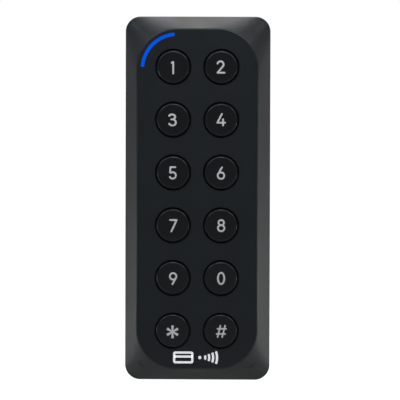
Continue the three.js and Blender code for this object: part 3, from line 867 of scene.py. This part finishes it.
for label, x, y in KEY_SPOTS:
    body = "key_" + label
    cap = moved(turned(cap_profile, 112), x, y)
    piece("cap_" + label, cap, "key", body, ["keycap_" + label])
    legend = moved(plate(union(STROKES[label]), LEGEND_REAR, LEGEND_FRONT, bevel=0.03, rounds=1), x, y)
    piece("character_" + label, legend, "legend", body, ["legend_" + label])

# ------------ status light guide

LEG_REAR = BOARD_FRONT + 1.1
LEGS = [(170, 1.1, 2), (100, 2, 1.1)]  # each leg's angle round the arc, its width and its height
FOOT_LIP = 0.5  # the foot reaches in past the arc, under the panel


def guide_leg(angle, width, height):
    """A leg of the light guide, down to the lamp under it."""
    x, y = arc(ARC_X, ARC_Y, ARC_RADIUS - ARC_WIDTH / 4, angle, angle)[0]
    return box(x, y, width, height, LEG_REAR, LEDGE_REAR + 0.5)


foot_outline = ring_stretch(ARC_INNER - FOOT_LIP, ARC_OUTER - 0.02, ARC_FROM, ARC_TO)
arc_outline = ring_stretch(ARC_INNER, ARC_OUTER, ARC_FROM, ARC_TO)
guide_mesh = add_to(
    plate([arc_outline], LEDGE_REAR + 0.1, FRONT, bevel=0.05),
    [plate([foot_outline], LEDGE_REAR, LEDGE_FRONT)] + [guide_leg(*leg) for leg in LEGS],
)
piece("light_arc", guide_mesh, "status_light", replaces=["status_light_guide"])

# ------------ white mark under the keys

MARK_Y = -54.65
MARK_STROKE = 0.75
INK_THICK = 0.03
CARD_X = -4.6
CARD_HALF_WIDTH = 3.5
CARD_HALF_HEIGHT = 2.05
CARD_CORNER = 0.75
STRIPE_RISE = 0.3
WAVES_X = 1.1
WAVES_ANGLE = 21
WAVE_RADII = (1.9, 3.25, 4.6, 5.95)
DOT_RADIUS = 0.55


def mark_strokes():
    """A card, its stripe and the radio waves that leave it, as outlines."""
    half = MARK_STROKE / 2
    outer = rounded_rect(CARD_HALF_WIDTH, CARD_HALF_HEIGHT, CARD_CORNER, CARD_X, MARK_Y)
    inner = rounded_rect(
        CARD_HALF_WIDTH - MARK_STROKE, CARD_HALF_HEIGHT - MARK_STROKE, 0.25, CARD_X, MARK_Y
    )
    stripe = rounded_rect(CARD_HALF_WIDTH - half, half, 0.05, CARD_X, MARK_Y + STRIPE_RISE)
    waves = [
        arc(WAVES_X, MARK_Y, radius + half, -WAVES_ANGLE, WAVES_ANGLE)
        + arc(WAVES_X, MARK_Y, radius - half, WAVES_ANGLE, -WAVES_ANGLE)
        for radius in WAVE_RADII
    ]
    dot = circle(DOT_RADIUS, WAVES_X, MARK_Y, 48)
    return [[outer, inner], [stripe], [dot]] + [[wave] for wave in waves]


mark_mesh = joined([plate(outlines, FRONT, FRONT + INK_THICK) for outlines in mark_strokes()])
piece("panel_mark", mark_mesh, "print")

# ------------ keypad mat: a sheet and twelve domes

MAT_REAR = BOARD_FRONT + FIT
MAT_FRONT = MAT_REAR + 1
MAT_HALF_WIDTH = 16
MAT_HALF_HEIGHT = 51.4
DOME_BASE_RADIUS = 5.6
DOME_CROWN_RADIUS = 3.4
DOME_CEILING = 13.4
DOME_TOP = KEY_TOP - KEY_WALL - FIT
DOME_SHOULDER = 14.3
dome_profile = filleted(
    [
        (0, DOME_CEILING, 0),
        (2.6, DOME_CEILING, 0.3),
        (4.7, MAT_REAR, 0),
        (DOME_BASE_RADIUS, MAT_REAR, 0),
        (DOME_BASE_RADIUS, MAT_FRONT, 0.1),
        (DOME_CROWN_RADIUS, DOME_SHOULDER, 0.6),
        (DOME_CROWN_RADIUS, DOME_TOP, 0.4),
        (0, DOME_TOP, 0),
    ],
)
sheet_holes = [circle(DOME_BASE_RADIUS - 0.02, x, y, 64) for _, x, y in KEY_SPOTS]
sheet_outline = rounded_rect(MAT_HALF_WIDTH, MAT_HALF_HEIGHT, 8)
sheet_mesh = plate([sheet_outline] + sheet_holes, MAT_REAR, MAT_FRONT, bevel=0.12)
piece("mat_sheet", sheet_mesh, "silicone", replaces=["keypad_mat"])


for label, x, y in KEY_SPOTS:
    dome_mesh = moved(turned(dome_profile, 64), x, y)
    dome = piece("dome_" + label, dome_mesh, "silicone", body=None, weighted=False)
    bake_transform(dome)

# ------------ tamper plunger and spring

PLUNGER_RADIUS = 2.3
PLUNGER_FLANGE_RADIUS = 3.2
PLUNGER_FLANGE = COVER_FLOOR + TAMPER_TRAVEL + FIT
PLUNGER_TOP = PLUNGER_FLANGE + 0.6
SPRING_POCKET_RADIUS = 1.8
SPRING_POCKET_FLOOR = 1.5
plunger_profile = filleted(
    [
        (0, FIT, 0),
        (PLUNGER_RADIUS, FIT, 0.7),
        (PLUNGER_RADIUS, PLUNGER_FLANGE, 0.1),
        (PLUNGER_FLANGE_RADIUS, PLUNGER_FLANGE, 0.12),
        (PLUNGER_FLANGE_RADIUS, PLUNGER_TOP, 0.12),
        (SPRING_POCKET_RADIUS, PLUNGER_TOP, 0.1),
        (SPRING_POCKET_RADIUS, SPRING_POCKET_FLOOR, 0.2),
        (0, SPRING_POCKET_FLOOR, 0),
    ],
)
plunger_mesh = moved(turned(plunger_profile, 64), TAMPER_X, TAMPER_Y)
piece("plunger", plunger_mesh, "nylon", "tamper", ["tamper_plunger"])

SPRING_RADIUS = 1.35
SPRING_WIRE_RADIUS = 0.18
SPRING_TURNS = 5
SPRING_REAR = 1.78
SPRING_FRONT = 7.3
STEPS_PER_TURN = 28
END_WIRE = 0.14  # share of the wire in each closed end
END_CLIMB = 0.07  # share of the height that it climbs


def spring_climb(along):
    """How far up the spring the wire has got, both as shares: flat at the ends and steep between them."""
    rear = min(along, END_WIRE) / END_WIRE
    middle = min(1, max(0, (along - END_WIRE) / (1 - 2 * END_WIRE)))
    front = max(0, along - 1 + END_WIRE) / END_WIRE
    return END_CLIMB * (rear + front) + (1 - 2 * END_CLIMB) * middle


def spring_mesh():
    """A coil of round wire about the plunger's axis, with its end turns closed up."""
    loops = []
    steps = SPRING_TURNS * STEPS_PER_TURN
    for i in range(steps + 1):
        angle = 2 * math.pi * SPRING_TURNS * i / steps
        outward = Vector((math.cos(angle), math.sin(angle), 0))
        height = SPRING_REAR + (SPRING_FRONT - SPRING_REAR) * spring_climb(i / steps)
        centre = outward * SPRING_RADIUS + Vector((0, 0, height))
        wire = circle(SPRING_WIRE_RADIUS, count=12)
        loops.append([centre + outward * x + Vector((0, 0, y)) for x, y in wire])
    return moved(rings(loops), TAMPER_X, TAMPER_Y)


spring = piece("spring", spring_mesh(), "screw", body=None, replaces=["tamper_spring"])
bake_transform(spring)

# ------------ cable grommet

GROMMET_REAR = 2.2
GROMMET_FRONT = COVER_FLOOR + 1.1
GROMMET_RIM_RADIUS = 6
GROMMET_GROOVE_RADIUS = 4.1
grommet_profile = filleted(
    [
        (CABLE_RADIUS, GROMMET_REAR, 0.35),
        (GROMMET_RIM_RADIUS, GROMMET_REAR, 0.35),
        (GROMMET_RIM_RADIUS, RECESS_FLOOR - FIT, 0.15),
        (GROMMET_GROOVE_RADIUS, RECESS_FLOOR - FIT, 0.1),
        (GROMMET_GROOVE_RADIUS, COVER_FLOOR + FIT, 0.1),
        (5.4, COVER_FLOOR + FIT, 0.15),
        (5.0, GROMMET_FRONT, 0.3),
        (CABLE_RADIUS, GROMMET_FRONT, 0.3),
    ],
    closed=True,
)
grommet_mesh = moved(turned(grommet_profile, 72), 0, CABLE_Y)
piece("grommet", grommet_mesh, "rubber", replaces=["cable_grommet"])

# ------------ wall plate

PLATE_EASE = 0.12
PLATE_HALF_WIDTH = 19
PLATE_HALF_HEIGHT = 49.3
PLATE_CORNER = 2
SLOT_HALF_LENGTH = 4
SLOT_RADIUS = 2.2
SLOT_CORNER = SLOT_RADIUS - 0.001  # just short of round, so that no two points meet
APERTURE_HALF_WIDTH = 8
APERTURE_HALF_HEIGHT = 12
TAMPER_HOLE_RADIUS = 3
LUG_HALF_WIDTH = 5
LUG_Y = -59
LUG_LOWER_Y = LUG_Y - PLATE_THICK / 2
LUG_UPPER_Y = LUG_Y + PLATE_THICK / 2
LUG_TIP = 6.6
LUG_ROOT_Y = -48.6
LUG_HOLE_RADIUS = 1.5
HOOK_X = 9
HOOK_HALF_WIDTH = 3
HOOK_ROOT_Y = 48.1
HOOK_TIP_Y = 51.3


def slot_outline(y, upright):
    """A wall screw's slot, running across the plate or up it."""
    if upright:
        return rounded_rect(SLOT_RADIUS, SLOT_HALF_LENGTH, SLOT_CORNER, 0, y)
    return rounded_rect(SLOT_HALF_LENGTH, SLOT_RADIUS, SLOT_CORNER, 0, y)


def folded(corners, x0, x1):
    """Sheet metal bent to a section of (y, z, fillet radius) corners, between two x."""
    mesh = plate([filleted(corners, closed=True)], x0, x1, bevel=PLATE_EASE)
    mesh.transform(Matrix(((0, 0, 1, 0), (1, 0, 0, 0), (0, 1, 0, 0), (0, 0, 0, 1))))
    return mesh


plate_blank = plate(
    [
        rounded_rect(PLATE_HALF_WIDTH, PLATE_HALF_HEIGHT, PLATE_CORNER),
        slot_outline(WALL_SLOT_PITCH / 2, False),
        slot_outline(-WALL_SLOT_PITCH / 2, True),
        rounded_rect(APERTURE_HALF_WIDTH, APERTURE_HALF_HEIGHT, PLATE_CORNER, 0, CABLE_Y),
        circle(TAMPER_HOLE_RADIUS, TAMPER_X, TAMPER_Y, 64),
    ],
    0,
    PLATE_THICK,
    bevel=PLATE_EASE,
)
lug_section = [
    (LUG_ROOT_Y, 0.0, 0),
    (LUG_LOWER_Y, 0.0, 1.9),
    (LUG_LOWER_Y, LUG_TIP, 0.1),
    (LUG_UPPER_Y, LUG_TIP, 0.1),
    (LUG_UPPER_Y, PLATE_THICK, 0.7),
    (LUG_ROOT_Y, PLATE_THICK, 0),
]
hook_section = [
    (HOOK_ROOT_Y, 0.5, 0),
    (PLATE_HALF_HEIGHT, 0.5, 0),
    (PLATE_HALF_HEIGHT, 1.9, 0.3),
    (HOOK_TIP_Y, 1.9, 0.1),
    (HOOK_TIP_Y, 2.9, 0.3),
    (HOOK_ROOT_Y, 2.9, 1.2),
]
plate_mesh = add_to(
    plate_blank,
    [folded(lug_section, -LUG_HALF_WIDTH, LUG_HALF_WIDTH)]
    + [folded(hook_section, x - HOOK_HALF_WIDTH, x + HOOK_HALF_WIDTH) for x in (-HOOK_X, HOOK_X)],
)
plate_mesh = cut(plate_mesh, [lock_rod(LUG_HOLE_RADIUS, LUG_Y - 3, LUG_Y + 3, 48)])
piece("wall_bracket", plate_mesh, "plate", replaces=["wall_plate"])

# ------------ rear cover

COVER_INSET = 2.55
COVER_WALL = 1.45
COVER_OUTSIDE = COVER_REAR - 1  # tools start clear of the cover's rear face
RECESS_HALF_WIDTH = 19.6
RECESS_HALF_HEIGHT = 50
POST_X = 18
POST_Y = 41
POST_RADIUS = 1.6
POST_ROOT = COVER_FLOOR - 0.5
CHANNEL_Y = -55.5
CHANNEL_WIDTH = 12
CHANNEL_HEIGHT = 12
CHANNEL_CEILING = 7.2
BLOCK_Y = -53.85
BLOCK_WIDTH = 15
BLOCK_HEIGHT = 11.7
HOOK_POCKET_Y = 50.6
HOOK_POCKET_WIDTH = 6.6
HOOK_POCKET_HEIGHT = 2.6
HOOK_POCKET_REAR = 1.5
PLUNGER_HOLE_RADIUS = 2.5
BORE_REAR = 2  # bores in the recess's floor run from here
BORE_FRONT = 6
HEAD_BORE_RADIUS = 2.7
HEAD_SEAT = 2.6
SHANK_HOLE_RADIUS = 1.4


def cover_shell():
    """The cover as a tray, with posts for the board and a block round the lock lug's channel."""
    tray = plate([inset_outline(COVER_INSET, 3.2)], COVER_REAR, COVER_RIM, bevel=0.3)
    hollow = plate([inset_outline(COVER_INSET + COVER_WALL, 2)], COVER_FLOOR, COVER_RIM + 1)
    posts = [
        rod(POST_RADIUS, POST_ROOT, BOARD_REAR - FIT, x, y, 32)
        for x in (-POST_X, POST_X)
        for y in (-POST_Y, POST_Y)
    ]
    channel_block = box(0, BLOCK_Y, BLOCK_WIDTH, BLOCK_HEIGHT, POST_ROOT, COVER_RIM)
    return add_to(cut(tray, [hollow]), posts + [channel_block])


def hook_pocket(x):
    """Room for one of the wall plate's hooks."""
    return box(
        x, HOOK_POCKET_Y, HOOK_POCKET_WIDTH, HOOK_POCKET_HEIGHT, HOOK_POCKET_REAR, RECESS_FLOOR + FIT
    )


def cover_openings():
    """Everything cut out of the cover from behind."""
    recess = rounded_rect(RECESS_HALF_WIDTH, RECESS_HALF_HEIGHT, 2.5)
    return (
        [
            plate([recess], COVER_OUTSIDE, RECESS_FLOOR),
            box(0, CHANNEL_Y, CHANNEL_WIDTH, CHANNEL_HEIGHT, COVER_OUTSIDE, CHANNEL_CEILING),
            rod(GROMMET_GROOVE_RADIUS + FIT, BORE_REAR, BORE_FRONT, 0, CABLE_Y),
            rod(PLUNGER_HOLE_RADIUS, BORE_REAR, BORE_FRONT, TAMPER_X, TAMPER_Y),
        ]
        + [hook_pocket(x) for x in (-HOOK_X, HOOK_X)]
        + [rod(HEAD_BORE_RADIUS, COVER_OUTSIDE, HEAD_SEAT, x, y, 48) for x, y in CASE_SCREWS]
        + [rod(SHANK_HOLE_RADIUS, 0, BORE_FRONT, x, y, 32) for x, y in CASE_SCREWS]
    )


cover_mesh = cut(cover_shell(), cover_openings())
piece("back_shell", cover_mesh, "cover", replaces=["rear_cover"])

# ------------ screws

DRIVE_WIDTH = 0.6
DRIVE_DEPTH = 0.7
CASE_HEAD_REAR = 0.9
LOCK_HEAD_THICK = 0.9


def screw_mesh(head_radius, head_thick, shank_radius, length):
    """A cross-head screw standing on its head's face, with its shank along +z."""
    profile = filleted(
        [
            (0, 0, 0),
            (head_radius - 0.15, 0.08, 0.3),
            (head_radius, head_thick, 0.1),
            (shank_radius, head_thick, 0.15),
            (shank_radius, length - 0.6, 0.2),
            (shank_radius - 0.5, length, 0.1),
            (0, length, 0),
        ],
    )
    bar = head_radius * 1.1
    drive = [
        box(0, 0, width, height, -1, DRIVE_DEPTH)
        for width, height in ((bar, DRIVE_WIDTH), (DRIVE_WIDTH, bar))
    ]
    return cut(turned(profile, 64), drive)


def screw_piece(name, mesh, cad_node):
    """A finished screw in place of the CAD's."""
    piece(name, mesh, "screw", replaces=[cad_node], weighted=False)


for x, y in CASE_SCREWS:
    place = ("upper" if y > 0 else "lower") + ("_right" if x > 0 else "_left")
    screw = screw_mesh(head_radius=2.3, head_thick=1.6, shank_radius=1.2, length=10.4)
    screw_piece("cover_screw_" + place, moved(screw, x, y, CASE_HEAD_REAR), "case_screw_" + place)

lock_screw = screw_mesh(head_radius=2.6, head_thick=LOCK_HEAD_THICK, shank_radius=1.4, length=8)
lock_screw = upward(lock_screw, LOCK_SEAT_Y - FIT - LOCK_HEAD_THICK)
screw_piece("lock_screw", lock_screw, "security_screw")

# ------------ stage, lights and camera

# In metres.
FLOOR_HALF_SIZE = 9
FLOOR_THICK = 0.02
FLOOR_GAP = 0.0002  # between the floor and the reader's lower edge
FLOOR_GLOW = 2.15
FLOOR_GLOW_STRETCH = (4, 7, 6)  # one over the lit patch's half lengths
FLOOR_GLOW_SHIFT = (0, -0.74, 0)  # the patch's middle is about 0.1 behind the reader
AMBIENT = 0.2
AMBIENT_IN_FRONT = AMBIENT * 0.1
FRONT_SIDE = (-0.8, -0.15)  # the surround brightens between these directions' Y, which is -1 in front


def studio_floor():
    """A wide white floor that looks even to the camera and glows most just behind the reader."""
    outline = rounded_rect(FLOOR_HALF_SIZE, FLOOR_HALF_SIZE, 0.5)
    slab = rings([[(x, y, z) for x, y in outline] for z in (-FLOOR_THICK, 0)])
    holder = bpy.data.objects.new("studio_floor", slab)
    made, shader, tree = material("studio_white", (0.85, 0.85, 0.85), 0.9)
    whites = tint(tree, noise(tree, 3, 2), (0.4, 0.4, 0.4), 0.975, 1.025)
    tree.links.new(whites, shader.inputs["Base Color"])
    shader.inputs["Emission Color"].default_value = (1, 1, 1, 1)
    rays = tree.nodes.new("ShaderNodeLightPath")
    nearness = tree.nodes.new("ShaderNodeTexGradient")
    nearness.gradient_type = "SPHERICAL"
    tree.links.new(object_place(tree, FLOOR_GLOW_STRETCH, FLOOR_GLOW_SHIFT), nearness.inputs["Vector"])
    strength = node(tree, "ShaderNodeMix", Factor=rays.outputs["Is Camera Ray"])
    strength.inputs["B"].default_value = 1.0
    tree.links.new(remap(tree, nearness.outputs["Fac"], 0, FLOOR_GLOW), strength.inputs["A"])
    tree.links.new(strength.outputs["Result"], shader.inputs["Emission Strength"])
    holder.data.materials.append(made)
    holder.location = (0, 0, -HALF_HEIGHT * MM - FLOOR_GAP)
    bpy.context.scene.collection.objects.link(holder)
    return holder


def studio_world():
    """A white backdrop for the camera, and a dim surround that is darkest in front of the reader."""
    world = bpy.data.worlds.new("studio")
    world.use_nodes = True
    sky = world.node_tree
    backdrop = node(sky, "ShaderNodeBackground", Color=(1, 1, 1, 1), Strength=1.0)
    direction = sky.nodes.new("ShaderNodeTexCoord")
    split = node(sky, "ShaderNodeSeparateXYZ", Vector=direction.outputs["Generated"])
    sides = node(sky, "ShaderNodeMapRange", Value=split.outputs["Y"])
    sides.interpolation_type = "SMOOTHSTEP"
    sides.inputs["From Min"].default_value = FRONT_SIDE[0]
    sides.inputs["From Max"].default_value = FRONT_SIDE[1]
    sides.inputs["To Min"].default_value = AMBIENT_IN_FRONT
    sides.inputs["To Max"].default_value = AMBIENT
    ambient = node(sky, "ShaderNodeBackground", Color=(1, 1, 1, 1), Strength=sides.outputs["Result"])
    rays = sky.nodes.new("ShaderNodeLightPath")
    choose = sky.nodes.new("ShaderNodeMixShader")
    sky.links.new(rays.outputs["Is Camera Ray"], choose.inputs[0])
    sky.links.new(ambient.outputs[0], choose.inputs[1])
    sky.links.new(backdrop.outputs[0], choose.inputs[2])
    sky.links.new(choose.outputs[0], sky.nodes["World Output"].inputs["Surface"])
    return world


studio_floor()
bpy.context.scene.world = studio_world()


def softbox(name, place, aim, width, height, power, colour=(1, 1, 1)):
    """An area light that faces a point."""
    lamp = bpy.data.lights.new(name, "AREA")
    lamp.shape = "RECTANGLE"
    lamp.size = width
    lamp.size_y = height
    lamp.energy = power
    lamp.color = colour
    holder = bpy.data.objects.new(name, lamp)
    holder.location = place
    holder.visible_camera = False
    holder.rotation_mode = "QUATERNION"
    holder.rotation_quaternion = (Vector(aim) - Vector(place)).to_track_quat("-Z", "Y")
    bpy.context.scene.collection.objects.link(holder)


# Each light's name, place, aim, width, height, power and, unless it is white, its colour. The powers and the
# two colours were set from a least-squares fit to levels in the photo, and some were then changed.
LIGHTS = [
    ("top_light", (-0.02, 0.28, 0.75), (0, 0, 0.05), 0.2, 0.6, 2.12),
    ("front_upper_light", (0, -0.18, 0.24), (0, 0, 0.0), 0.12, 0.08, 0.2),
    ("left_light", (-0.95, 0.5, 0.4), (0, 0, 0), 0.5, 0.8, 0.87),
    ("left_foot_light", (-0.2, -0.012, -0.04), (0, 0, -0.055), 0.05, 0.03, 0.05),
    ("right_light", (0.95, 0.5, 0.4), (0, 0, 0), 0.5, 0.8, 1.95),
    ("right_foot_light", (0.2, -0.012, -0.04), (0, 0, -0.055), 0.05, 0.03, 0.057),
    ("left_corner_light", (-0.4, -0.31, 0.43), (0, 0, 0.03), 0.27, 0.27, 0.74, (0.68, 0.86, 1.0)),
    ("right_corner_light", (0.4, -0.31, 0.43), (0, 0, 0.03), 0.27, 0.27, 0.69, (0.84, 0.94, 1.0)),
]
for light in LIGHTS:
    softbox(*light)

CAMERA_DISTANCE = 1.8
CAMERA_AZIMUTH = math.radians(2.0)
CAMERA_ELEVATION = math.radians(2.0)
CAMERA_ROLL = math.radians(0.155)
CAMERA_AIM = Vector((0.815 * MM, -12.3 * MM, -0.585 * MM))
VIEW_HEIGHT = 0.1381  # height of the view at the aim, in metres
SENSOR_WIDTH = 36


def front_camera():
    """The camera, nearly straight in front of the reader."""
    camera = bpy.data.cameras.new("camera")
    camera.sensor_width = SENSOR_WIDTH
    camera.lens = SENSOR_WIDTH * CAMERA_DISTANCE / VIEW_HEIGHT
    camera.clip_start = 0.05
    camera.clip_end = 50
    holder = bpy.data.objects.new("camera", camera)
    bpy.context.scene.collection.objects.link(holder)
    back = Vector((
        math.sin(CAMERA_AZIMUTH) * math.cos(CAMERA_ELEVATION),
        -math.cos(CAMERA_AZIMUTH) * math.cos(CAMERA_ELEVATION),
        math.sin(CAMERA_ELEVATION),
    ))
    roll = Matrix.Rotation(CAMERA_ROLL, 3, "Z").to_quaternion()
    holder.location = CAMERA_AIM + back * CAMERA_DISTANCE
    holder.rotation_mode = "QUATERNION"
    holder.rotation_quaternion = (-back).to_track_quat("-Z", "Y") @ roll
    return holder


bpy.context.scene.camera = front_camera()
bpy.context.scene.view_settings.view_transform = "Standard"
bpy.context.scene.view_settings.look = "None"

# ------------ finish

SLOT_OF_NODE = {row["node"]: row["material_slot"] for row in frame["record"]["subparts"]}
for name, cad_node in frame["nodes"].items():
    finish = MATERIALS[SLOT_OF_NODE[name]]
    finishes = cad_node.data.materials
    if len(finishes) == 0:
        finishes.append(finish)
    for index in range(len(finishes)):
        finishes[index] = finish
